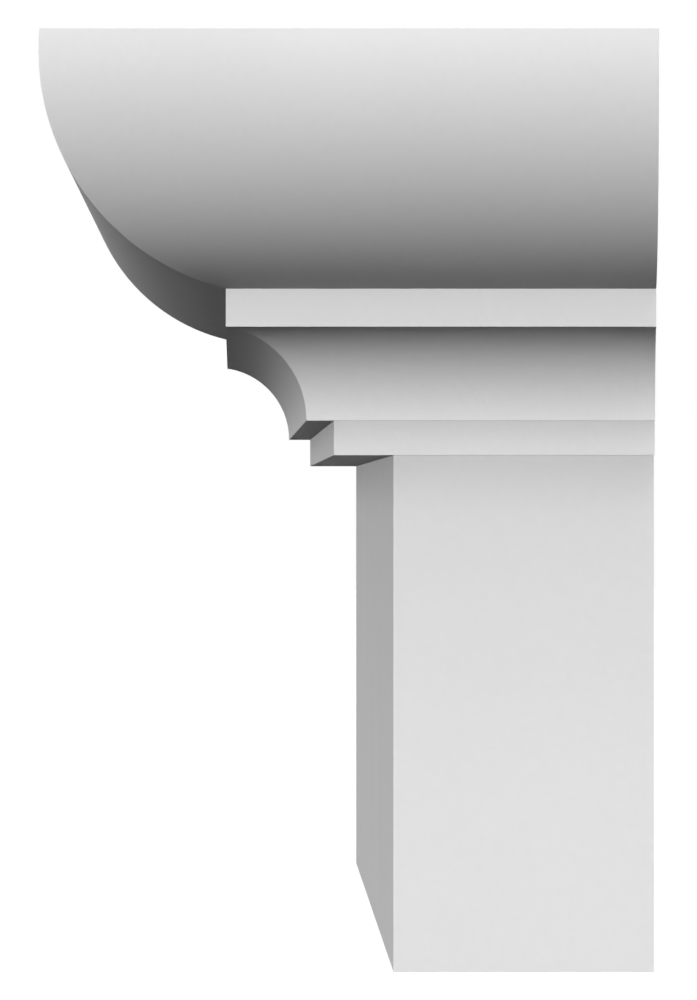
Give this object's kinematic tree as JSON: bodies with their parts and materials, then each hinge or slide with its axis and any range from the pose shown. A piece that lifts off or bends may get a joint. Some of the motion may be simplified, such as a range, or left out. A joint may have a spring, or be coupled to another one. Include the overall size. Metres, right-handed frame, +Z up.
{
  "type": "window crosshead",
  "caption": "Straight window crosshead: a plain frieze board under a cove and ovolo crown that mitres and returns to the wall at both ends.",
  "frame": {"origin": "centre of the flat underside of the frieze board, the face that the crosshead stands on", "axes": "+X along the head, +Y into the wall (the front faces -Y), +Z up"},
  "size_m": [2.3054, 0.1495, 0.2286],
  "materials": {
    "primed_face": "smooth factory primer, matt white, over moulded high-density polyurethane"
  },
  "bodies": {
    "root": {"crosshead": "primed_face"}
  },
  "joints": []
}
